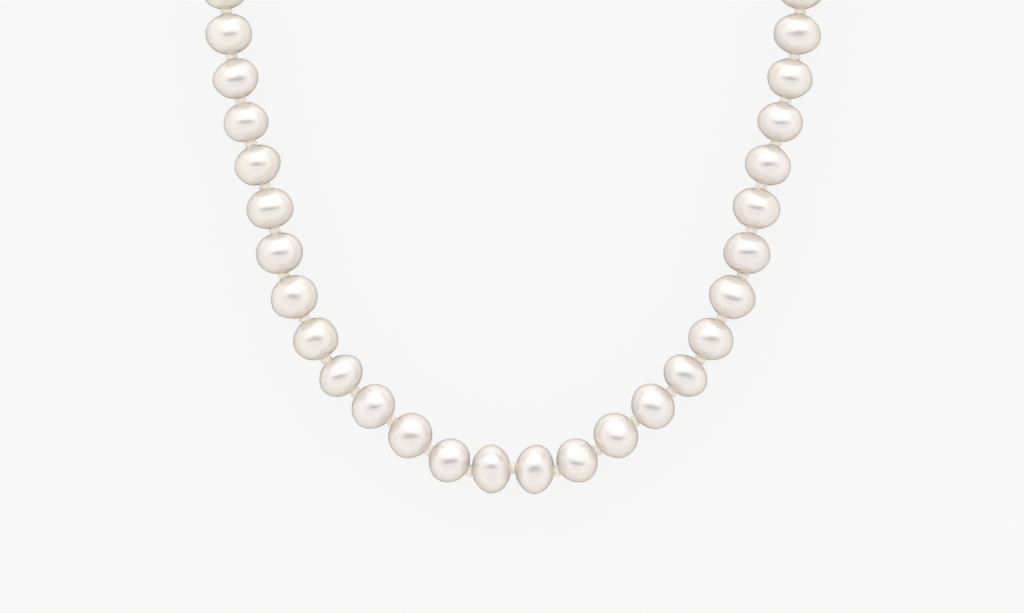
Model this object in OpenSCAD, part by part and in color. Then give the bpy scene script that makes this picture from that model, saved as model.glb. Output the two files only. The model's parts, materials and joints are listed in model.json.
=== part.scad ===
/* [Strand] */
// Pearls on each arm, from the middle knot up to the clasp
pearls_per_arm = 25; // [20:1:25]
// Space between two neighbouring pearls, measured on the thread
knot_gap = 0.8; // [0.7:0.05:1]
// Drill hole through each pearl
drill_d = 0.9; // [0.8:0.05:1]

/* [Silk] */
// Silk thread
silk_d = 0.7; // [0.5:0.05:0.75]
// Knot tied between two pearls
knot_d = 2.1; // [1.8:0.05:2.3]
// Play between a knot and the drill mouths it sits in
knot_play = 0.07; // [0.05:0.01:0.1]

/* [End loops] */
// Thickness of the silk where French wire covers it
loop_wire_d = 0.84; // [0.7:0.02:0.88]
// Radius of the loop, on the wire's middle
loop_r = 1.65; // [1.6:0.01:1.7]
// Angle at which the loop droops from the thread to the link ring
loop_droop = 11; // [10:0.5:12]

/* [Rings] */
// Radius of the two standing link rings, on the wire's middle
link_r = 2; // [1.95:0.01:2.05]
// Wire of the link rings
link_wire_d = 0.76; // [0.7:0.02:0.8]
// Hole in the end ring that the clasp hooks into
end_ring_bore = 4.4; // [4.2:0.1:4.6]
// Width of the end ring's band
end_ring_band = 1; // [0.9:0.05:1.05]
// Thickness of the end ring
end_ring_t = 1; // [0.8:0.05:1.05]
// Tilt of the end ring, whose near side rests on the link ring
end_ring_tilt = 12; // [11:0.5:13]

/* [Clasp] */
// Thickness of the claw's hub, which lies on the table
hub_t = 3; // [2.9:0.1:3.1]
// Radius of the claw's hub
hub_r = 2.5; // [2.4:0.05:2.6]
// Radius of the claw's eye, on the wire's middle
eye_r = 1.5; // [1.5:0.01:1.55]
// Wire of the claw's eye
eye_wire_d = 1.1; // [1:0.05:1.1]
// Wire of the claw's hook
hook_wire_d = 1.8; // [1.7:0.05:1.85]
// Radius of the hook's bend, on the wire's middle
hook_r = 2.7; // [2.65:0.01:2.75]
// Thickness of the lever that shuts the hook
lever_d = 1.3; // [1.1:0.05:1.3]
// Rivet that the lever turns on
rivet_d = 0.8; // [0.7:0.05:0.85]
// Running clearance between the rivet and the lever
rivet_play = 0.05; // [0.03:0.01:0.08]

/* [Hidden] */
// Direction of the thread through each pearl of the right-hand arm, in degrees from +X
heading = [-4, 27, 38, 39, 48, 62, 64, 79, 77, 72, 77, 78, 83,
           86, 84, 88, 91, 88, 92, 94, 91, 95, 97, 94, 96];
// Distance from knot to knot over each pearl
pitch = [7.6, 7.9, 8.3, 8.1, 7.5, 8.1, 8.3, 8.0, 7.9, 7.8, 7.7, 7.8, 7.9,
         7.8, 8.0, 7.9, 7.7, 8.0, 7.9, 7.8, 8.0, 7.9, 7.8, 7.9, 7.8];
// Each pearl's size across the thread
across = [8.5, 7.8, 8.1, 8.1, 8.3, 8.0, 8.3, 8.3, 8.2, 8.2, 7.9, 8.0, 8.2,
          8.0, 8.4, 8.1, 7.9, 8.3, 8.0, 8.5, 8.1, 8.2, 8.0, 8.3, 8.1];

last = pearls_per_arm;
profile_step = 10;
thread_z = max(across) / 2;
knot_r = knot_d / 2;
seat_r = knot_r + knot_play;

// A knot's place on the right-hand arm, counted from the middle knot, which is 0
function knot(k) = k == 0 ? [0, 0] : knot(k - 1) + pitch[k - 1] * aim(k);
// The direction of the thread through pearl k
function aim(k) = [cos(heading[k - 1]), sin(heading[k - 1])];
// The middle of pearl k
function middle(k) = (knot(k - 1) + knot(k)) / 2;

// End pieces, as distances along the thread from the last knot
loop_at = seat_r + loop_wire_d / 2 + loop_r;
link_at = loop_at + loop_r + 0.6;
link_z = link_r + link_wire_d / 2;
eye_at = link_at + 1.9;
end_ring_r = (end_ring_bore + end_ring_band) / 2;
end_ring_at = link_at + 0.3 + end_ring_r * cos(end_ring_tilt);
end_ring_z = (end_ring_bore / 2 + end_ring_band) * sin(end_ring_tilt)
           + end_ring_t / 2 * cos(end_ring_tilt);

// Clasp, measured from the middle of the claw's eye
hub_at = [3.9, 0.1];
hub_bevel = 0.3;
hook_at = [6.6, 0.2];
hook_start = 150;
hook_tip = -45;
pivot = [4.4, -1.6];
slot_t = lever_d + 0.2;
slot_r = 1.4;
slot_top = 0.6;
boss_r = 1.15;
boss_top = 0.08;
lever_reach = 2.44;
tab_at = 1;
tab_d = 1.1;
spring_wire_d = 0.2;
spring_r = 0.62;
spring_z = 0.14;
spring_t = 0.44;

// The origin is on the table, in the middle of the laid strand
claw_end = eye_at + hook_at[0] + hook_r + hook_wire_d / 2;
lowest = middle(1)[1] - across[0] / 2;
highest = knot(last)[1] + claw_end * sin(heading[last - 1]);
lay_shift = -(lowest + highest) / 2;

function two_digits(k) = str(k < 10 ? "0" : "", k);
function pearl_name(side, k) = str("pearl_", side, "_", two_digits(k));

$fn = 64;

// A ring of round wire in the XY plane
module wire_ring(r, wire_d, angle = 360) {
    rotate_extrude(angle = angle)
        translate([r, 0])
            circle(d = wire_d, $fn = 40);
}

// A round bar along +X
module bar(length, d) {
    rotate([0, 90, 0])
        cylinder(h = length, d = d, $fn = 40);
}

// Half of an ellipse, with its long side across the thread and the thread along Y
module half_ellipse(a, b) {
    polygon([for (t = [-90 : profile_step : 90]) [a * cos(t), b * sin(t)]]);
}

// A pearl before it is drilled, with the thread along X from the inner knot
module whole_pearl(k) {
    translate([pitch[k - 1] / 2, 0, 0])
        rotate([0, 90, 0])
            rotate_extrude()
                half_ellipse(across[k - 1] / 2, (pitch[k - 1] - knot_gap) / 2);
}

// Thread along X past both knots of pearl k, thickened to balls at the knots that it carries
module thread(k, d, ball_r, knots) {
    translate([-d, 0, 0]) bar(pitch[k - 1] + d, d);
    for (x = knots) translate([x, 0, 0]) sphere(ball_r);
}

// Puts its children at knot k of an arm, with X along the thread through pearl `along`
module on_arm(side, k, along, z) {
    mirrored = side == "left" ? -1 : 1;
    turn = side == "left" ? 180 - heading[along - 1] : heading[along - 1];
    translate([mirrored * knot(k)[0], knot(k)[1] + lay_shift, z])
        rotate([0, 0, turn])
            children();
}

// A drilled pearl with its stretch of silk: two solids, parted by the play round the silk.
// Every pearl carries the knot at its outer end, and the first also carries the middle knot.
module strung_pearl(side, k) {
    first = side == "right" && k == 1;
    knots = first ? [0, pitch[0]] : [pitch[k - 1]];
    color("#f3ece4")
        on_arm(side, k - 1, k, thread_z)
            difference() {
                union() {
                    whole_pearl(k);
                    for (x = knots) translate([x, 0, 0]) sphere(knot_r);
                }
                difference() {
                    thread(k, drill_d, seat_r, knots);
                    thread(k, silk_d, knot_r, knots);
                }
                if (!first) sphere(seat_r);
            }
}

// Puts its children past the last knot, with X leading away from the strand and Z = 0 on the table
module past_end(side) {
    on_arm(side, last, last, 0) children();
}

// A drooping loop of silk under French wire, which a standing ring passes through
module end_loop() {
    color("#d9d4c8")
        translate([0, 0, thread_z])
            rotate([0, loop_droop, 0]) {
                translate([loop_at, 0, 0]) wire_ring(loop_r, loop_wire_d);
                translate([seat_r, 0, 0]) bar(loop_wire_d / 2, 0.6 * loop_wire_d);
            }
}

// A soldered ring that stands on its edge and joins a loop to what lies flat
module standing_ring() {
    color("#d3d3d6")
        translate([link_at, 0, link_z])
            rotate([90, 0, 0])
                wire_ring(link_r, link_wire_d);
}

// The flat ring that the claw hooks into
module end_ring() {
    edge_r = 0.3;
    color("#d3d3d6")
        translate([end_ring_at, 0, end_ring_z])
            rotate([0, end_ring_tilt, 0])
                difference() {
                    rotate_extrude()
                        translate([end_ring_r, 0]) {
                            square([end_ring_band, end_ring_t - 2 * edge_r], center = true);
                            square([end_ring_band - 2 * edge_r, end_ring_t], center = true);
                            for (x = [-1, 1])
                                for (z = [-1, 1])
                                    translate([x * (end_ring_band / 2 - edge_r), z * (end_ring_t / 2 - edge_r)])
                                        circle(edge_r, $fn = 32);
                        }
                    cylinder(h = 2 * end_ring_t, d = end_ring_bore, center = true);
                }
}

// Puts its children at the middle of the claw's eye, half way up the claw
module at_eye() {
    translate([eye_at, 0, hub_t / 2]) children();
}

// Puts its children on the lever's pivot
module at_pivot() {
    translate([pivot[0], pivot[1], 0]) children();
}

// A disc with a bevelled rim
module hub_disc() {
    half = hub_t / 2;
    rotate_extrude()
        polygon([[0, -half], [hub_r - hub_bevel, -half], [hub_r, hub_bevel - half],
                 [hub_r, half - hub_bevel], [hub_r - hub_bevel, half], [0, half]]);
}

// The hook, from inside the hub round to its tip
module hook() {
    translate([hook_at[0], hook_at[1], 0])
        rotate([0, 0, hook_tip])
            wire_ring(hook_r, hook_wire_d, hook_start - hook_tip);
}

// The slot in the hub that the lever swings in
module lever_slot() {
    back = pivot[0] - slot_r;
    front = hub_at[0] + hub_r + 0.1;
    low = hub_at[1] - hub_r - 1;
    translate([back, low, -slot_t / 2])
        cube([front - back, slot_top - low, slot_t]);
}

// The claw: eye, hub with a slot for the lever, and hook
module claw_body() {
    color("#d3d3d6")
        at_eye()
            difference() {
                union() {
                    wire_ring(eye_r, eye_wire_d);
                    translate([hub_at[0], hub_at[1], 0]) hub_disc();
                    hook();
                }
                lever_slot();
                at_pivot() cylinder(h = 2 * hub_t, d = rivet_d, center = true);
            }
}

// The lever: a boss on the rivet, a bar to the hook's tip, and a tab for the thumbnail
module claw_lever() {
    color("#c9c9cd")
        at_eye()
            at_pivot()
                difference() {
                    union() {
                        translate([0, 0, -lever_d / 2])
                            cylinder(h = lever_d / 2 + boss_top, r = boss_r);
                        translate([tab_at, 0, 0]) bar(lever_reach - tab_at, lever_d);
                        translate([lever_reach, 0, 0]) sphere(d = lever_d);
                        translate([tab_at, 0, 0])
                            rotate([0, 0, -90])
                                bar(tab_d, tab_d);
                        translate([tab_at, -tab_d, 0]) sphere(d = 1.2 * tab_d);
                    }
                    cylinder(h = 2 * lever_d, r = rivet_d / 2 + rivet_play, center = true);
                    translate([0, 0, boss_top])
                        cylinder(h = lever_d, r = spring_r + spring_wire_d);
                }
}

// The rivet, flush with both faces of the hub
module lever_rivet() {
    color("#bcbcc0")
        at_eye()
            at_pivot()
                cylinder(h = hub_t, d = rivet_d, center = true);
}

// The turns of the spring round the rivet, as a sleeve, with a leg on the hub's back wall
module lever_spring() {
    color("#a9a9ad")
        at_eye()
            at_pivot()
                translate([0, 0, spring_z]) {
                    difference() {
                        cylinder(h = spring_t, r = spring_r + spring_wire_d / 2);
                        cylinder(h = 3 * spring_t, r = spring_r - spring_wire_d / 2, center = true);
                    }
                    translate([-slot_r + spring_wire_d / 2, spring_r, spring_t / 2])
                        bar(slot_r - spring_wire_d, spring_wire_d);
                }
}

for (side = ["right", "left"])
    for (k = [1:last])
        strung_pearl(side, k);
past_end("right") end_loop();  // end_loop_right
past_end("right") standing_ring();  // link_ring
past_end("right") end_ring();
past_end("left") end_loop();  // end_loop_left
past_end("left") standing_ring();  // swivel_ring
past_end("left") claw_body();
past_end("left") claw_lever();
past_end("left") lever_rivet();
past_end("left") lever_spring();
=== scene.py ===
"""A knotted strand of freshwater pearls with a claw clasp, laid open on a pale table."""

import json
import math
import random

import bpy
from mathutils import Matrix, Vector, noise


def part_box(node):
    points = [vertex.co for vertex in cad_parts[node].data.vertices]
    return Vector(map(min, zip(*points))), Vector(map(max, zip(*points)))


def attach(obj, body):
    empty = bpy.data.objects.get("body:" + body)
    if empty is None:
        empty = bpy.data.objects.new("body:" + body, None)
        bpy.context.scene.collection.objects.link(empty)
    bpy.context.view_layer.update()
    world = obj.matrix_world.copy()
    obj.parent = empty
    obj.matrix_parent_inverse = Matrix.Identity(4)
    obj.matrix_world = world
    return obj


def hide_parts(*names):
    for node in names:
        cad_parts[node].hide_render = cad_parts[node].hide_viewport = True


MM = 0.001

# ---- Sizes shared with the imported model, in millimetres -------------------------------------
PEARLS_PER_ARM = 25
THREAD_Z = 4.25
KNOT_GAP = 0.8
SEAT_R = 1.12            # the round seat in each pearl, in which the knot turns
DRILL_R = 0.45
SILK_R = 0.35

LOOP_AT = 3.19           # the middle of the end loop, out from the last knot
LOOP_R = 1.65
LOOP_COIL_R = 0.42
LOOP_DROOP = math.radians(11)
RING_R = 2.0             # the two round wire rings
RING_WIRE_R = 0.38
END_RING_R = 2.7
END_RING_BAND = 1.0
END_RING_TILT = math.radians(12)

# The claw's shape, from the middle of its eye
EYE_R = 1.5
EYE_WIRE_R = 0.55
HUB_AT = (3.9, 0.1)
HUB_R = 2.5
HUB_T = 3.0
HUB_DOME = 0.14
HOOK_AT = (6.6, 0.2)
HOOK_R = 2.7
HOOK_WIRE_R = 0.9
HOOK_FROM = math.radians(150)
HOOK_TO = math.radians(-45)
PIVOT_AT = 4.4
SLOT_T = 1.5
SLOT_BACK = 3.0
SLOT_TOP = 0.6

# The lever and what it turns on, from its pivot
LEVER_R = 0.65
LEVER_BOSS_R = 1.15
LEVER_REACH = 2.44
TAB_AT = 1.0
TAB_R = 0.55
RIVET_R = 0.4
RIVET_PLAY = 0.05
SPRING_R = 0.62
SPRING_WIRE_R = 0.1
SPRING_Z = (0.24, 0.48)

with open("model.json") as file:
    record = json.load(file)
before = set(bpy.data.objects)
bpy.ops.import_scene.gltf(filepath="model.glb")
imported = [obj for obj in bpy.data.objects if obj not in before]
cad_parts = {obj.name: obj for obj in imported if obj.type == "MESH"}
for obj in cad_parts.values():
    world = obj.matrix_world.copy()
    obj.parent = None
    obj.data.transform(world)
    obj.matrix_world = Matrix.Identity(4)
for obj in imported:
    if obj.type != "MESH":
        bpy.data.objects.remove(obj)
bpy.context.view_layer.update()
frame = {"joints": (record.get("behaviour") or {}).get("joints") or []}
scene = bpy.context.scene
knot_at = {j["name"]: Vector(j["pos_m"]) for j in frame["joints"]}


# ---- Camera, light and table ----------------------------------------------------------------
VIEW_WIDTH = 178.2 * MM
VIEW_CENTRE = Vector((-0.2, -65.2, THREAD_Z)) * MM
LENS = 150
SENSOR = 36


def make_camera():
    """Straight above the strand, with a long lens and the clasp beyond the top of the picture."""
    data = bpy.data.cameras.new("camera")
    data.lens = LENS
    data.sensor_width = SENSOR
    camera = bpy.data.objects.new("camera", data)
    camera.location = VIEW_CENTRE + Vector((0, 0, VIEW_WIDTH * LENS / SENSOR))
    scene.collection.objects.link(camera)
    scene.camera = camera


def rgb(red, green, blue):
    """An opaque colour, as the nodes take it."""
    return (red, green, blue, 1.0)


WHITE = rgb(1.0, 1.0, 1.0)

# The light tent: its colour by height, its big soft box, and its dim mouth
SKY = ((0.0, rgb(1.12, 1.06, 0.98)), (0.38, rgb(1.36, 1.32, 1.27)), (0.8, rgb(1.13, 1.12, 1.13)))
BOX_TOWARDS = Vector((0.0, 0.74, 0.67)).normalized()
BOX_GAIN = 0.56
BOX_EDGE = (0.45, 0.97)
MOUTH_AT = (0.0, -0.03)
MOUTH_SIZE = (0.66, 0.24)
MOUTH_EDGE = (0.40, 1.45)
MOUTH_LIGHT = 0.12

# How the camera sees the tent and the table, and what the table gives back to the strand
BACKDROP = 0.93
TABLE_REACH = 3.0
TABLE_Z = -0.1 * MM
TABLE_LIGHT = rgb(0.50, 0.45, 0.38)
TABLE_GLOSS = 0.3
TABLE_SHADED = rgb(0.9, 0.9, 0.9)
TABLE_SHARE = 0.06       # of the camera's view of it, what the strand can shade


def plug(tree, socket, value):
    """Links a socket to another node's output, or sets its value."""
    if isinstance(value, bpy.types.NodeSocket):
        tree.links.new(value, socket)
    else:
        socket.default_value = value


def node(tree, kind, values=(), **settings):
    """A node with some of its settings, and values or links for some of its inputs."""
    made = tree.nodes.new("ShaderNode" + kind)
    for name, value in settings.items():
        setattr(made, name, value)
    for name, value in dict(values).items():
        plug(tree, made.inputs[name], value)
    return made


def make_world():
    """A light tent: soft all round, with one big soft box and a dim mouth for the camera."""
    world = bpy.data.worlds.new("light_tent")
    world.use_nodes = True
    scene.world = world
    tree = world.node_tree
    tree.nodes.clear()

    def smooth(value, ends, results):
        limits = {"Value": value, "From Min": ends[0], "From Max": ends[1],
                  "To Min": results[0], "To Max": results[1]}
        return node(tree, "MapRange", limits, interpolation_type="SMOOTHSTEP").outputs[0]

    def vectors(operation, *values, output=0):
        made = node(tree, "VectorMath", dict(enumerate(values)), operation=operation)
        return made.outputs[output]

    towards = node(tree, "TexCoord").outputs["Generated"]
    height = node(tree, "SeparateXYZ", {"Vector": towards}).outputs["Z"]
    sky_ramp = node(tree, "ValToRGB", {"Fac": height})
    sky_ramp.color_ramp.interpolation = "EASE"
    sky_ramp.color_ramp.elements.new(SKY[1][0])
    for element, (place, colour) in zip(sky_ramp.color_ramp.elements, SKY):
        element.position = place
        element.color = colour
    facing = vectors("DOT_PRODUCT", towards, BOX_TOWARDS, output="Value")
    soft_box = smooth(facing, BOX_EDGE, (0.0, BOX_GAIN))
    both = vectors("ADD", sky_ramp.outputs[0], soft_box)
    from_mouth = vectors("SUBTRACT", towards, (*MOUTH_AT, 0))
    scaled = vectors("MULTIPLY", from_mouth, (1 / MOUTH_SIZE[0], 1 / MOUTH_SIZE[1], 0))
    mouth = smooth(vectors("LENGTH", scaled, output="Value"), MOUTH_EDGE, (MOUTH_LIGHT, 1.0))
    seen = node(tree, "LightPath").outputs["Is Camera Ray"]
    light = node(tree, "Background", {"Color": both, "Strength": mouth}).outputs[0]
    plain = node(tree, "Background", {"Color": WHITE, "Strength": BACKDROP}).outputs[0]
    shown = node(tree, "MixShader", {0: seen, 1: light, 2: plain}).outputs[0]
    node(tree, "OutputWorld", {"Surface": shown})


def make_floor():
    """A seamless white table top, which lights the strand from below less than it shows."""
    mesh = bpy.data.meshes.new("table_top")
    corners = [(x * TABLE_REACH, y * TABLE_REACH, TABLE_Z)
               for x, y in ((-1, -1), (1, -1), (1, 1), (-1, 1))]
    mesh.from_pydata(corners, [], [(0, 1, 2, 3)])
    floor = bpy.data.objects.new("table_top", mesh)
    scene.collection.objects.link(floor)
    material = bpy.data.materials.new("table_white")
    material.use_nodes = True
    tree = material.node_tree
    tree.nodes.clear()
    white = node(tree, "Emission", {"Color": WHITE, "Strength": BACKDROP}).outputs[0]
    lit = node(tree, "BsdfDiffuse", {"Color": TABLE_SHADED}).outputs[0]
    dull = node(tree, "BsdfDiffuse", {"Color": TABLE_LIGHT}).outputs[0]
    gloss = node(tree, "BsdfGlossy", {"Color": WHITE, "Roughness": TABLE_GLOSS}).outputs[0]
    grazing = node(tree, "LayerWeight", {"Blend": 0.5}).outputs["Facing"]
    below = node(tree, "MixShader", {0: grazing, 1: dull, 2: gloss}).outputs[0]
    shown = node(tree, "MixShader", {0: TABLE_SHARE, 1: white, 2: lit}).outputs[0]
    seen = node(tree, "LightPath").outputs["Is Camera Ray"]
    both = node(tree, "MixShader", {0: seen, 1: below, 2: shown}).outputs[0]
    node(tree, "OutputMaterial", {"Surface": both})
    mesh.materials.append(material)


# ---- Node materials -------------------------------------------------------------------------
class Graph:
    """A material's node tree, with short calls for the nodes that the finishes share."""

    def __init__(self, name):
        self.material = bpy.data.materials.new(name)
        self.material.use_nodes = True
        self.tree = self.material.node_tree
        self.shader = self.tree.nodes["Principled BSDF"]

    def node(self, kind, values=(), **settings):
        """A node with some of its settings, and values or links for some of its inputs."""
        return node(self.tree, kind, values, **settings)

    def noise(self, scale, detail, stretch=None):
        """Noise of so many waves a metre, in coordinates that stay with the piece."""
        place = self.node("TexCoord").outputs["Object"]
        if stretch:
            place = self.node("Mapping", {"Vector": place, "Scale": stretch}).outputs[0]
        values = {"Vector": place, "Scale": scale, "Detail": detail}
        return self.node("TexNoise", values).outputs[0]

    def attribute(self, name):
        """A number that the mesh carries at each of its points."""
        return self.node("Attribute", attribute_name=name).outputs["Fac"]

    def spread(self, value, low, high, start=0.3, end=0.7):
        """Maps a value from start..end to low..high."""
        return self.node("MapRange", {"Value": value, "From Min": start, "From Max": end,
                                      "To Min": low, "To Max": high}).outputs[0]

    def mix(self, share, one, other):
        """One colour where share is 0, and the other where it is 1."""
        made = self.node("Mix", {0: share, 6: one, 7: other}, data_type="RGBA")
        return made.outputs[2]

    def bump(self, height, distance):
        """Bump from a height of 0 to 1, for a real height in metres."""
        values = {"Height": height, "Distance": distance, "Strength": 1.0}
        return self.node("Bump", values).outputs[0]

    def finish(self, **inputs):
        """Sets the shader's inputs, named with underscores, and gives the material."""
        for name, value in inputs.items():
            plug(self.tree, self.shader.inputs[name.replace("_", " ")], value)
        return self.material


def nacre():
    """Pearl: rose and cream body colour, creamier at the drill holes, under a satin lustre."""
    g = Graph("nacre")
    rose = rgb(0.72, 0.675, 0.68)
    cream = rgb(0.72, 0.695, 0.66)
    hole_cream = rgb(0.77, 0.715, 0.6)
    body = g.mix(g.attribute("tone"), rose, cream)
    clouds = g.spread(g.noise(260, 3.0), 0.0, 0.5)
    body = g.mix(clouds, body, rgb(0.68, 0.67, 0.65))
    body = g.mix(g.attribute("hole"), body, hole_cream)
    rough = g.spread(g.noise(420, 3.0), 0.15, 0.24)
    skin = g.bump(g.noise(1500, 3.0), 0.012 * MM)
    return g.finish(
        Base_Color=body, Roughness=rough, Normal=skin, IOR=1.7, Metallic=0.33,
        Specular_Tint=rgb(1.0, 0.965, 0.95), Coat_Weight=0.8, Coat_Roughness=0.07,
        Coat_IOR=1.5, Subsurface_Weight=0.12, Subsurface_Scale=0.6 * MM,
        Subsurface_Radius=(1.0, 0.7, 0.55))


def silk():
    """Twisted silk, with its fibres along the strands."""
    g = Graph("silk")
    fibre = g.noise(2600, 3.0, (0.25, 1.0, 1.0))
    shade = g.mix(g.spread(fibre, 0.0, 1.0), rgb(0.82, 0.775, 0.70), rgb(0.91, 0.87, 0.80))
    return g.finish(
        Base_Color=shade, Roughness=g.spread(fibre, 0.45, 0.65),
        Normal=g.bump(fibre, 0.03 * MM), Sheen_Weight=0.2, Sheen_Roughness=0.4)


def polished_silver():
    """Polished silver with fine wear marks."""
    g = Graph("polished_silver")
    wear = g.noise(900, 4.0)
    scratches = g.noise(2200, 2.0, (1.0, 0.12, 1.0))
    shade = g.mix(g.spread(wear, 0.0, 1.0), rgb(0.66, 0.655, 0.64), rgb(0.76, 0.75, 0.73))
    return g.finish(
        Base_Color=shade, Metallic=1.0, Roughness=g.spread(wear, 0.10, 0.24),
        Normal=g.bump(scratches, 0.006 * MM))


def fine_wire():
    """The drawn silver wire of the coils over the end loops."""
    g = Graph("fine_wire")
    wear = g.noise(1600, 3.0)
    shade = g.mix(g.spread(wear, 0.0, 1.0), rgb(0.62, 0.61, 0.58), rgb(0.74, 0.73, 0.70))
    return g.finish(
        Base_Color=shade, Metallic=1.0, Roughness=g.spread(wear, 0.22, 0.36),
        Normal=g.bump(wear, 0.004 * MM))


def spring_steel():
    """Drawn steel wire, a little darker than the silver."""
    g = Graph("spring_steel")
    wear = g.noise(1900, 3.0)
    shade = g.mix(g.spread(wear, 0.0, 1.0), rgb(0.42, 0.42, 0.43), rgb(0.58, 0.58, 0.58))
    return g.finish(
        Base_Color=shade, Metallic=1.0, Roughness=g.spread(wear, 0.25, 0.4),
        Normal=g.bump(wear, 0.004 * MM))


NACRE = nacre()
SILK = silk()
SILVER = polished_silver()
FINE_WIRE = fine_wire()
STEEL = spring_steel()


# ---- Mesh code ------------------------------------------------------------------------------
PLIES = 3


def piece(name, verts, faces, material, place):
    """A mesh piece from points in millimetres, put in place by a matrix in metres."""
    mesh = bpy.data.meshes.new(name)
    mesh.from_pydata([Vector(v) * MM for v in verts], [], faces)
    mesh.polygons.foreach_set("use_smooth", [True] * len(mesh.polygons))
    mesh.materials.append(material)
    mesh.update()
    made = bpy.data.objects.new(name, mesh)
    made.matrix_world = place
    scene.collection.objects.link(made)
    return made


def belong(made, body, slot, *nodes):
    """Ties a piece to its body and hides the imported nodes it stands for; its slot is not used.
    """
    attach(made, body)
    if nodes:
        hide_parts(*nodes)


def grid_faces(rows, columns, rows_closed):
    """Quads over rows of points. Each row is closed on itself, and the rows may be too."""
    faces = []
    for i in range(rows if rows_closed else rows - 1):
        for j in range(columns):
            a, b = i * columns, (i + 1) % rows * columns
            k = (j + 1) % columns
            faces.append((a + j, a + k, b + k, b + j))
    return faces


def join(parts):
    """Several (verts, faces) as one."""
    verts, faces = [], []
    for some_verts, some_faces in parts:
        start = len(verts)
        verts += some_verts
        faces += [tuple(start + i for i in face) for face in some_faces]
    return verts, faces


def moved(part, matrix):
    """A (verts, faces) with its points moved by a matrix in millimetres."""
    return [matrix @ Vector(v) for v in part[0]], part[1]


def lathe(profile, sides):
    """A closed outline of (along, out) points turned round the X axis."""
    verts = []
    for along, out in profile:
        for j in range(sides):
            turn = math.tau * j / sides
            verts.append(Vector((along, out * math.cos(turn), out * math.sin(turn))))
    return verts, grid_faces(len(profile), sides, True)


def ball(profile, sides):
    """An open outline of (along, out) points, from pole to pole, turned round the X axis."""
    verts, faces = lathe(profile[1:-1], sides)
    rings = len(profile) - 2
    faces = faces[:(rings - 1) * sides]
    start, end = len(verts), len(verts) + 1
    verts += [Vector((profile[0][0], 0, 0)), Vector((profile[-1][0], 0, 0))]
    for j in range(sides):
        k = (j + 1) % sides
        faces.append((start, k, j))
        faces.append((end, (rings - 1) * sides + j, (rings - 1) * sides + k))
    return verts, faces


def frames_along(points, closed):
    """Two normals at each point of a path, carried along with the least turning."""
    count = len(points)
    tangents = []
    for i in range(count):
        after = points[(i + 1) % count] if closed else points[min(i + 1, count - 1)]
        before = points[i - 1] if closed else points[max(i - 1, 0)]
        tangents.append((after - before).normalized())
    side = Vector((0, 0, 1))
    if abs(tangents[0].z) > 0.9:
        side = Vector((0, 1, 0))
    side = (side - tangents[0] * side.dot(tangents[0])).normalized()
    sides = [side]
    for i in range(1, count):
        side = tangents[i - 1].rotation_difference(tangents[i]) @ sides[-1]
        sides.append((side - tangents[i] * side.dot(tangents[i])).normalized())
    if closed:
        last = tangents[-1].rotation_difference(tangents[0]) @ sides[-1]
        drift = last.angle(sides[0])
        if last.cross(sides[0]).dot(tangents[0]) < 0:
            drift = -drift
        for i in range(count):
            sides[i] = Matrix.Rotation(drift * i / count, 3, tangents[i]) @ sides[i]
    return [(side, tangent.cross(side)) for side, tangent in zip(sides, tangents)]


def sweep(points, radius, sides, closed=False, ply_depth=0.0, ply_turns=0.0):
    """A tube of a radius, or a radius at each share of the way, with twisted plies where deep."""
    points = [Vector(p) for p in points]
    count = len(points)
    verts = []
    for i, (one, two) in enumerate(frames_along(points, closed)):
        share = i / (count if closed else count - 1)
        size = radius(share) if callable(radius) else radius
        for j in range(sides):
            turn = math.tau * j / sides
            groove = 1.0
            if ply_depth:
                wave = abs(math.sin((PLIES * turn + math.tau * ply_turns * share) / 2))
                groove = 1 - ply_depth * (1 - wave)
            out = one * math.cos(turn) + two * math.sin(turn)
            verts.append(points[i] + out * size * groove)
    faces = grid_faces(count, sides, closed)
    if not closed:
        faces.append(tuple(reversed(range(sides))))
        faces.append(tuple((count - 1) * sides + j for j in range(sides)))
    return verts, faces


def ease(share):
    """A smooth step, from 0 at a share of 0 to 1 at a share of 1."""
    share = min(max(share, 0.0), 1.0)
    return share * share * (3 - 2 * share)


def rounded_end(share, start):
    """What is left of a wire's thickness at a share of its way, rounded off past start."""
    nose = (share - start) / (1 - start)
    return math.sqrt(max(0.02, 1 - nose * nose)) if nose > 0 else 1.0


# ---- Pearls and silk ------------------------------------------------------------------------
PEARL_SIDES = 72
SKIN_RINGS = 26
SEAT_RINGS = 6
SKIN_FADE = 0.5          # radians over which the swellings fade out towards the hole
RIM_SOFTNESS = 0.05
RIM_CURVE = (0.25, 0.5, 0.75)
SEAT_LEAD = 0.2
BORE_ROWS = (0.66, 0.33)

# How far the skin rises and falls, in millimetres, and how many waves of it go round
SWELL, SWELL_WAVES = (0.14, 0.30), 1.1
DENT, DENT_WAVES = (0.02, 0.06), 2.3
RIPPLE, RIPPLE_WAVES = (0.006, 0.014), 4
UNDERSIDE_CALM = 0.8
FLAT_TOPS = {("right", 1): 0.26, ("left", 1): 0.26}
OTHER_FLATS = (0.0, 0.0, 0.06, 0.14)
FLAT_WIDTH = 7           # the higher, the smaller the flat
HOLE_TINT = 0.6
HOLE_TINT_FROM = 0.6     # of the way from the pearl's middle to its end


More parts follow.
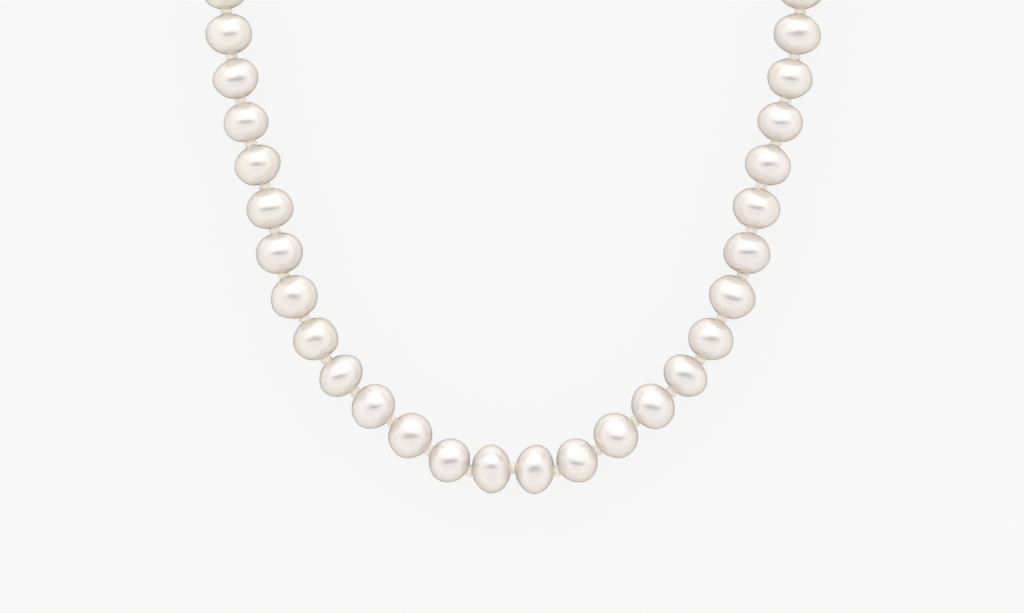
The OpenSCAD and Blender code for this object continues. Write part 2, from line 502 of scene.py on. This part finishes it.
def pearl_outline(half, radius):
    """The outline of a drilled pearl as (along, out, share of the skin's swellings) points."""
    centre = half + KNOT_GAP / 2
    low, high = 0.0, math.pi / 2
    for _ in range(40):
        t = (low + high) / 2
        apart = math.hypot(centre - half * math.cos(t), radius * math.sin(t))
        low, high = (t, high) if apart < SEAT_R else (low, t)
    rim_skin = low
    rim_seat = math.asin(min(1, radius * math.sin(low) / SEAT_R))
    skin_end = rim_skin + RIM_SOFTNESS
    outline = []
    for i in range(SKIN_RINGS + 1):
        t = math.pi / 2 + (skin_end - math.pi / 2) * i / SKIN_RINGS
        fade = ease((t - rim_skin) / SKIN_FADE)
        outline.append((half * math.cos(t), radius * math.sin(t), fade))
    seat_start = rim_seat - SEAT_LEAD
    seat_end = math.asin(DRILL_R / SEAT_R)
    corner = (half * math.cos(rim_skin), radius * math.sin(rim_skin))
    first = outline[-1]
    last = (centre - SEAT_R * math.cos(seat_start), SEAT_R * math.sin(seat_start))
    for share in RIM_CURVE:
        a, b, c = (1 - share) ** 2, 2 * share * (1 - share), share ** 2
        outline.append((a * first[0] + b * corner[0] + c * last[0],
                        a * first[1] + b * corner[1] + c * last[1], 0.0))
    for i in range(SEAT_RINGS + 1):
        t = seat_start + (seat_end - seat_start) * i / SEAT_RINGS
        outline.append((centre - SEAT_R * math.cos(t), SEAT_R * math.sin(t), 0.0))
    wall = outline[-1][0]
    outline += [(wall * share, DRILL_R, 0.0) for share in BORE_ROWS]
    mirrored = [(-x, r, w) for x, r, w in reversed(outline[1:])]
    return outline + mirrored


def pearl_mesh(half, radius, draw, flat, upright):
    """A drilled pearl: nearly an ellipsoid, with small swellings that make each one different."""
    outline = pearl_outline(half, radius)
    verts, faces = lathe([(x, r) for x, r, _ in outline], PEARL_SIDES)
    offset = Vector((draw.uniform(0, 90), draw.uniform(0, 90), draw.uniform(0, 90)))
    swell = draw.uniform(*SWELL)
    dent = draw.uniform(*DENT)
    ripple = draw.uniform(*RIPPLE)
    lean = Vector((draw.uniform(-0.4, 0.4), draw.uniform(-0.4, 0.4), 4 if upright else 1))
    lean.normalize()
    for i, v in enumerate(verts):
        weight = outline[i // PEARL_SIDES][2]
        if weight:
            way = v.normalized()
            grown = (swell * noise.noise(way * SWELL_WAVES + offset)
                     + dent * noise.noise(way * DENT_WAVES + offset)
                     + ripple * noise.noise(way * RIPPLE_WAVES + offset))
            grown *= 1 - UNDERSIDE_CALM * ease(-way.z)
            dip = flat * max(0.0, way.dot(lean)) ** FLAT_WIDTH
            verts[i] = v + way * (grown - dip) * weight
    return verts, faces


# The knot's thread, from one pole of the knot to near the other, and then across its wraps
KNOT_BALL_R = 0.74
KNOT_WRAPS = 2.2
WRAP_STEPS = 84
WRAP_POLES = (158, 42)
CROSSING_STEPS = 34
CROSSING_LEAN = 79.2
CROSSING_TURN = 1.15 * math.pi
CROSSING_LIFT = 0.01
KNOT_TUBE_R = 0.36
KNOT_SIDES = 18
KNOT_PLY_DEPTH = 0.24
KNOT_PLY_TURNS = 11
KNOT_HEART = (1.02, 0.97)
HEART_STEPS = 12
HEART_SIDES = 24

THREAD_ROWS_PER_MM = 7
THREAD_SIDES = 16
THREAD_PLY_DEPTH = 0.2
THREAD_PLY_PITCH = 1.1


def on_ball(tilt, turn, radius):
    """A point on a ball: so many radians from the thread's way, and round it."""
    return Vector((math.cos(tilt), math.sin(tilt) * math.cos(turn),
                   math.sin(tilt) * math.sin(turn))) * radius


def knot_path():
    """The thread's way through a knot pulled tight: wraps round a ball, then a crossing."""
    start, end = WRAP_POLES
    whole = math.tau * KNOT_WRAPS
    path = []
    for i in range(WRAP_STEPS + 1):
        share = i / WRAP_STEPS
        tilt = math.radians(start + (end - start) * share)
        path.append(on_ball(tilt, whole * share, KNOT_BALL_R))
    for i in range(1, CROSSING_STEPS):
        share = i / CROSSING_STEPS
        over = math.sin(math.pi * share)
        tilt = math.radians(end + CROSSING_LEAN * over)
        lift = CROSSING_LIFT * over
        path.append(on_ball(tilt, whole + CROSSING_TURN * share, KNOT_BALL_R + lift))
    return path


KNOT_PATH = knot_path()


def knot_mesh(turn, at):
    """A knot of twisted thread, turned round the thread."""
    spin = Matrix.Translation((at, 0, 0)) @ Matrix.Rotation(turn, 4, "X")
    wraps = sweep(KNOT_PATH, KNOT_TUBE_R, KNOT_SIDES,
                  ply_depth=KNOT_PLY_DEPTH, ply_turns=KNOT_PLY_TURNS)
    arcs = [math.pi * i / HEART_STEPS for i in range(HEART_STEPS + 1)]
    heart = [(-KNOT_HEART[0] * math.cos(t), KNOT_HEART[1] * math.sin(t)) for t in arcs]
    return moved(join([wraps, ball(heart, HEART_SIDES)]), spin)


def thread_mesh(start, end):
    """The straight thread inside a pearl."""
    length = end - start
    steps = int(length * THREAD_ROWS_PER_MM)
    path = [(start + length * i / steps, 0, 0) for i in range(steps + 1)]
    return sweep(path, SILK_R, THREAD_SIDES,
                 ply_depth=THREAD_PLY_DEPTH, ply_turns=length / THREAD_PLY_PITCH)


def set_number(made, name, values):
    """Stores a number at each of a mesh's points."""
    attribute = made.data.attributes.new(name, "FLOAT", "POINT")
    attribute.data.foreach_set("value", values)


def arm_knots(side):
    """The knots of an arm, from the middle of the strand to its end."""
    names = ["knot_middle"]
    names += [f"knot_{side}_{k:02d}" for k in range(1, PEARLS_PER_ARM)]
    names.append(f"knot_end_{side}")
    return [knot_at[name] for name in names]


def thread_turn(one, other):
    """The turn that points X from one knot to the other, with Z up."""
    x = (other - one).normalized()
    y = Vector((0, 0, 1)).cross(x)
    return Matrix((x, y, x.cross(y))).transposed().to_4x4()


def string_pearls():
    """Every pearl, with its stretch of silk and the knot at its outer end."""
    draw = random.Random(24)
    for side in ("right", "left"):
        knots = arm_knots(side)
        for k in range(1, PEARLS_PER_ARM + 1):
            body = f"strand_{side}_{k:02d}"
            packed = f"pearl_{side}_{k:02d}"
            one, other = knots[k - 1], knots[k]
            place = Matrix.Translation((one + other) / 2) @ thread_turn(one, other)
            pitch = (other - one).length / MM
            low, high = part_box(packed)
            half, radius = (pitch - KNOT_GAP) / 2, (high.z - low.z) / MM / 2
            flat = FLAT_TOPS.get((side, k), draw.choice(OTHER_FLATS))
            verts, faces = pearl_mesh(half, radius, draw, flat, (side, k) in FLAT_TOPS)
            pearl = piece(f"nacre_{side}_{k:02d}", verts, faces, NACRE, place)
            tone = draw.uniform(0.0, 1.0)
            set_number(pearl, "tone", [tone] * len(verts))
            outwards = [(abs(v[0]) / half - HOLE_TINT_FROM) / (1 - HOLE_TINT_FROM) for v in verts]
            set_number(pearl, "hole", [HOLE_TINT * ease(share) for share in outwards])
            belong(pearl, body, "pearl", packed)
            parts = [thread_mesh(-pitch / 2, pitch / 2),
                     knot_mesh(draw.uniform(0, math.tau), pitch / 2)]
            if side == "right" and k == 1:
                parts.append(knot_mesh(draw.uniform(0, math.tau), -pitch / 2))
            thread = piece(f"silk_{side}_{k:02d}", *join(parts), SILK, place)
            belong(thread, body, "silk")


# ---- End loops, rings and clasp -------------------------------------------------------------
COIL_WIRE_R = 0.085
COIL_PITCH = 0.19
COIL_STEPS = 12
COIL_SIDES = 8
LOOP_SILK_SIDES = 12
LOOP_SILK_PLIES = {"ply_depth": 0.15, "ply_turns": 9}
LOOP_ROOT = Vector((0.7, 0, 0))
LOOP_LEG = Vector((1.1, 0.31, 0))
LEG_PULL = Vector((0.35, 0, 0))
BOW_PULL = 0.6
BOW_STEPS = 80
LEG_STEPS = 12
LOOP_OPENS = math.radians(150)

RING_STEPS = 144
RING_SIDES = 24
SEAM_AT = math.radians(70) / math.tau
SEAM_SWELL = 0.05
SEAM_WIDTH = 0.012
END_RING_CORNER = 0.34
END_RING_STEPS = 120


def end_turn(side):
    """The turn that points X away from the strand past the last knot of an arm."""
    knots = arm_knots(side)
    return thread_turn(knots[-2], knots[-1])


def middle_of(packed):
    """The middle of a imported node's box."""
    low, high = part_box(packed)
    return (low + high) / 2


def loop_path():
    """The loop's middle line: out from the knot, round the ring, and back, evenly spaced."""
    arcs = [LOOP_OPENS * (2 * i / BOW_STEPS - 1) for i in range(BOW_STEPS + 1)]
    bow = [Vector((LOOP_AT + LOOP_R * math.cos(t), LOOP_R * math.sin(t), 0)) for t in arcs]
    along = Vector((-math.sin(LOOP_OPENS), math.cos(LOOP_OPENS), 0)) * BOW_PULL
    ends = (bow[-1], bow[-1] + along, LOOP_LEG + LEG_PULL, LOOP_LEG)
    back = []
    for i in range(1, LEG_STEPS + 1):
        t = i / LEG_STEPS
        shares = ((1 - t) ** 3, 3 * t * (1 - t) ** 2, 3 * t * t * (1 - t), t ** 3)
        back.append(sum((share * end for share, end in zip(shares, ends)), Vector((0, 0, 0))))
    out = [Vector((v.x, -v.y, 0)) for v in reversed(back)]
    return even(out + bow + back, COIL_PITCH / COIL_STEPS)


def even(points, gap):
    """Points a steady gap apart along a path."""
    spaced, left = [points[0]], gap
    for one, other in zip(points, points[1:]):
        length = (other - one).length
        while length >= left:
            one = one + (other - one) * (left / length)
            spaced.append(one)
            length -= left
            left = gap
        left -= length
    return spaced


def end_loop(side):
    """A loop of silk under French wire, a fine coil that keeps the ring off the silk."""
    knot = arm_knots(side)[-1]
    place = Matrix.Translation(knot) @ end_turn(side) @ Matrix.Rotation(LOOP_DROOP, 4, "Y")
    path = loop_path()
    coil = []
    for i, (one, two) in enumerate(frames_along(path, False)):
        turn = math.tau * i / COIL_STEPS
        out = one * math.cos(turn) + two * math.sin(turn)
        coil.append(path[i] + out * (LOOP_COIL_R - COIL_WIRE_R))
    wire = piece(f"french_wire_{side}", *sweep(coil, COIL_WIRE_R, COIL_SIDES), FINE_WIRE, place)
    belong(wire, f"loop_{side}", "french_wire", f"end_loop_{side}")
    inside = [LOOP_ROOT, *path[::COIL_STEPS // 2], LOOP_ROOT]
    core = sweep(inside, LOOP_COIL_R - 2 * COIL_WIRE_R, LOOP_SILK_SIDES, **LOOP_SILK_PLIES)
    thread = piece(f"loop_silk_{side}", *core, SILK, place)
    belong(thread, f"loop_{side}", "silk")


def circle(radius, count, start=0.0, end=math.tau, plane="xy"):
    """Points round a circle, or part of one."""
    closed = abs(end - start - math.tau) < 1e-6
    points = []
    for i in range(count):
        t = start + (end - start) * i / (count if closed else count - 1)
        a, b = radius * math.cos(t), radius * math.sin(t)
        points.append(Vector((a, b, 0) if plane == "xy" else (a, 0, b)))
    return points


def standing_ring(name, packed, body, side):
    """A ring of round wire on its edge, with the faint swelling of its soldered seam."""
    def wire(share):
        return RING_WIRE_R * (1 + SEAM_SWELL * math.exp(-((share - SEAM_AT) / SEAM_WIDTH) ** 2))

    ring = sweep(circle(RING_R, RING_STEPS, plane="xz"), wire, RING_SIDES, closed=True)
    place = Matrix.Translation(middle_of(packed)) @ end_turn(side)
    belong(piece(name, *ring, SILVER, place), body, "silver", packed)


def rounded_square(width, corner, out, steps=6):
    """A closed outline with rounded corners, centred on a distance out from the axis.

    It runs the way round that makes its lathed faces point outwards.
    """
    flat = width / 2 - corner
    outline = []
    for quarter, (sx, sy) in enumerate(((1, 1), (-1, 1), (-1, -1), (1, -1))):
        for i in range(steps + 1):
            t = math.pi / 2 * (quarter + i / steps)
            outline.append((sx * flat + corner * math.cos(t),
                            out + sy * flat + corner * math.sin(t)))
    return outline[::-1]


def end_ring():
    """The flat ring that the claw takes hold of, leaning on the ring that carries it."""
    outline = rounded_square(END_RING_BAND, END_RING_CORNER, END_RING_R)
    verts, faces = lathe(outline, END_RING_STEPS)
    upright = Matrix.Rotation(END_RING_TILT, 4, "Y") @ Matrix.Rotation(-math.pi / 2, 4, "Y")
    place = Matrix.Translation(middle_of("end_ring")) @ end_turn("right") @ upright
    belong(piece("clasp_ring", verts, faces, SILVER, place), "ring", "silver", "end_ring")


CAST_SMOOTHING = 0.5
CUT_SOFTENING = 6


def solid(name, part):
    """A temporary object, with one unit to the millimetre."""
    mesh = bpy.data.meshes.new(name)
    mesh.from_pydata([tuple(v) for v in part[0]], [], part[1])
    made = bpy.data.objects.new(name, mesh)
    scene.collection.objects.link(made)
    return made


def cast(parts, cutters, voxel, soften):
    """Overlapping closed parts run together as in casting, then cut, with soft edges."""
    body = solid("casting", join(parts))
    cuts = [solid(f"cutter_{i}", cutter) for i, cutter in enumerate(cutters)]

    def run_together(rounds):
        remesh = body.modifiers.new("run", "REMESH")
        remesh.mode = "VOXEL"
        remesh.voxel_size = voxel
        smooth = body.modifiers.new("soft", "SMOOTH")
        smooth.iterations = rounds
        smooth.factor = CAST_SMOOTHING

    run_together(soften)
    for cut in cuts:
        boolean = body.modifiers.new("cut", "BOOLEAN")
        boolean.operation = "DIFFERENCE"
        boolean.solver = "EXACT"
        boolean.object = cut
    run_together(CUT_SOFTENING)
    bpy.context.view_layer.update()
    finished = body.evaluated_get(bpy.context.evaluated_depsgraph_get())
    mesh = bpy.data.meshes.new_from_object(finished)
    verts = [v.co.copy() for v in mesh.vertices]
    faces = [tuple(face.vertices) for face in mesh.polygons]
    bpy.data.meshes.remove(mesh)
    for temporary in [body, *cuts]:
        bpy.data.objects.remove(temporary)
    return verts, faces


def box(low, high):
    """A box from its two corners."""
    verts = [Vector((x, y, z)) for x in (low[0], high[0]) for y in (low[1], high[1])
             for z in (low[2], high[2])]
    faces = [(0, 1, 3, 2), (4, 6, 7, 5), (0, 4, 5, 1), (2, 3, 7, 6), (0, 2, 6, 4), (1, 5, 7, 3)]
    return verts, faces


def turned(profile, sides, at=(0, 0, 0)):
    """An open outline of (height, out) points turned round a Z axis."""
    upright = Matrix.Translation(at) @ Matrix.Rotation(-math.pi / 2, 4, "Y")
    return moved(ball(profile, sides), upright)


def disc(radius, low, high, edge, dome=0.0, sides=64, at=(0, 0, 0), rows=12, edge_rows=6):
    """A disc with a rounded rim, and faces that rise to the middle where it is domed."""
    face = [(dome * (1 - (i / rows) ** 2), (radius - edge) * i / rows) for i in range(rows)]
    outline = [(low + dome - rise, out) for rise, out in face]
    for centre, start in ((low + dome + edge, -math.pi / 2), (high - dome - edge, 0.0)):
        for i in range(edge_rows + 1):
            t = start + math.pi / 2 * i / edge_rows
            outline.append((centre + edge * math.sin(t), radius - edge + edge * math.cos(t)))
    outline += [(high - dome + rise, out) for rise, out in reversed(face)]
    return turned(outline, sides, at)


# The claw's casting
HUB_EDGE = 0.5
HUB_SIDES = 72
EYE_STEPS = 72
EYE_SIDES = 24
HOOK_STEPS = 120
HOOK_SIDES = 32
HOOK_SWELL = (1.14, 0.84)        # of the hook's wire, at its root and its tip
HOOK_NOSE = 0.94                 # the share of the way at which its end rounds off
HOOK_TIP_PAST = math.radians(7)  # how far its rounded end runs on
SLOT_PAST = (1, 0.2)             # how far the cut runs out past the hub
CLAW_VOXEL = 0.07
CLAW_SOFTENING = 8

# The lever, from its pivot
BOSS_TOP = 0.08
BOSS_EDGE = 0.15
ARM_ROOT = 0.5
ARM_OVERLAP = 0.2
ARM_STEPS = 24
ARM_NOSE = 0.75
TAB_ROOT = -0.2
TAB_REACH = 1.45
TAB_STEPS = 20
TAB_SWELL = (0.85, 1.20)
TAB_SWELL_RATE = 1.4
TAB_NOSE = 0.7
LEVER_SIDES = 28
LEVER_VOXEL = 0.06
LEVER_SOFTENING = 4
CUT_EDGE = 0.01
CUT_PAST = 2                     # well past the lever's own thickness
SPRING_ROOM = 0.22

# The rivet and the spring
RIVET_SUNK = 0.02
RIVET_DOME = 0.09
RIVET_HEAD = 1.25                # of the rivet's radius, where its end is spread
RIVET_NECK = 0.06
RIVET_SIDES = 48
DOME_STEPS = 6
SPRING_TURNS = 1.75
SPRING_STEPS = 84
SPRING_SIDES = 12
SPRING_LEG = 0.93                # of the way from the pivot to the slot's back wall
SPRING_THIN = 0.8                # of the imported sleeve's wall


def claw_place(joint):
    """The claw's place, with X away from the strand, from one of its joints."""
    return Matrix.Translation(knot_at[joint]) @ end_turn("left")


def claw_body():
    """The claw: a cast eye, hub and hook, with a slot cut for the lever."""
    half = HUB_T / 2

    def hook_wire(share):
        root, tip = HOOK_SWELL
        return HOOK_WIRE_R * (root + (tip - root) * ease(share)) * rounded_end(share, HOOK_NOSE)

    bend = circle(HOOK_R, HOOK_STEPS, HOOK_FROM, HOOK_TO - HOOK_TIP_PAST)
    hook = sweep([Vector((*HOOK_AT, 0)) + v for v in bend], hook_wire, HOOK_SIDES)
    eye = sweep(circle(EYE_R, EYE_STEPS), EYE_WIRE_R, EYE_SIDES, closed=True)
    hub = disc(HUB_R, -half, half, HUB_EDGE, HUB_DOME, HUB_SIDES, (*HUB_AT, 0))
    slot = box((SLOT_BACK, HUB_AT[1] - HUB_R - SLOT_PAST[0], -SLOT_T / 2),
               (HUB_AT[0] + HUB_R + SLOT_PAST[1], SLOT_TOP, SLOT_T / 2))
    shape = cast([eye, hub, hook], [slot], CLAW_VOXEL, CLAW_SOFTENING)
    made = piece("claw_casting", *shape, SILVER, claw_place("claw_swing"))
    belong(made, "claw", "silver", "claw_body")


def claw_lever():
    """The sprung lever, with its thumb tab, that closes the claw against the hook's tip."""
    def arm_wire(share):
        return LEVER_R * rounded_end(share, ARM_NOSE)

    def tab_wire(share):
        root, tip = TAB_SWELL
        size = TAB_R * (root + (tip - root) * ease(share * TAB_SWELL_RATE))
        return size * rounded_end(share, TAB_NOSE)

    length = LEVER_REACH + LEVER_R + ARM_OVERLAP - ARM_ROOT
    boss = disc(LEVER_BOSS_R, -LEVER_R, BOSS_TOP, BOSS_EDGE)
    arm_line = [(ARM_ROOT + length * i / ARM_STEPS, 0, 0) for i in range(ARM_STEPS + 1)]
    tab_line = [(TAB_AT, TAB_ROOT - TAB_REACH * i / TAB_STEPS, 0) for i in range(TAB_STEPS + 1)]
    arm = sweep(arm_line, arm_wire, LEVER_SIDES)
    tab = sweep(tab_line, tab_wire, LEVER_SIDES)
    hole = disc(RIVET_R + RIVET_PLAY, -CUT_PAST, CUT_PAST, CUT_EDGE)
    room = disc(SPRING_R + SPRING_ROOM, BOSS_TOP, CUT_PAST, CUT_EDGE)
    shape = cast([boss, arm, tab], [hole, room], LEVER_VOXEL, LEVER_SOFTENING)
    made = piece("claw_thumb_lever", *shape, SILVER, claw_place("claw_lever_open"))
    belong(made, "lever", "silver", "claw_lever")


def claw_rivet():
    """The rivet, with slightly domed ends."""
    half = HUB_T / 2 - HUB_DOME - RIVET_SUNK
    arcs = [math.pi / 2 * i / DOME_STEPS for i in range(DOME_STEPS + 1)]
    head = [(half + RIVET_DOME * math.cos(t), RIVET_HEAD * RIVET_R * math.sin(t)) for t in arcs]
    upper = [*head, (half - RIVET_NECK, RIVET_R)]
    outline = [(-height, out) for height, out in upper] + upper[::-1]
    shape = turned(outline, RIVET_SIDES)
    made = piece("claw_rivet", *shape, SILVER, claw_place("claw_lever_open"))
    belong(made, "claw", "silver", "lever_rivet")


def claw_spring():
    """The lever's spring: turns of wire round the rivet, with a leg on the hub's back wall."""
    low, high = SPRING_Z
    path = [Vector((SPRING_LEG * (SLOT_BACK - PIVOT_AT), SPRING_R, low))]
    for i in range(SPRING_STEPS + 1):
        share = i / SPRING_STEPS
        t = math.pi / 2 - math.tau * SPRING_TURNS * share
        path.append(Vector((SPRING_R * math.cos(t), SPRING_R * math.sin(t),
                            low + (high - low) * share)))
    coil = sweep(path, SPRING_THIN * SPRING_WIRE_R, SPRING_SIDES)
    made = piece("claw_spring", *coil, STEEL, claw_place("claw_lever_open"))
    belong(made, "claw", "spring_steel", "lever_spring")


def string_ends():
    """What each arm ends in: the ring on the right, and the claw on the left."""
    for side in ("right", "left"):
        end_loop(side)
    standing_ring("link_wire", "link_ring", "link", "right")
    standing_ring("swivel_wire", "swivel_ring", "swivel", "left")
    end_ring()
    claw_body()
    claw_lever()
    claw_rivet()
    claw_spring()


make_camera()
make_world()
make_floor()
string_pearls()
string_ends()

scene.view_settings.view_transform = "Standard"
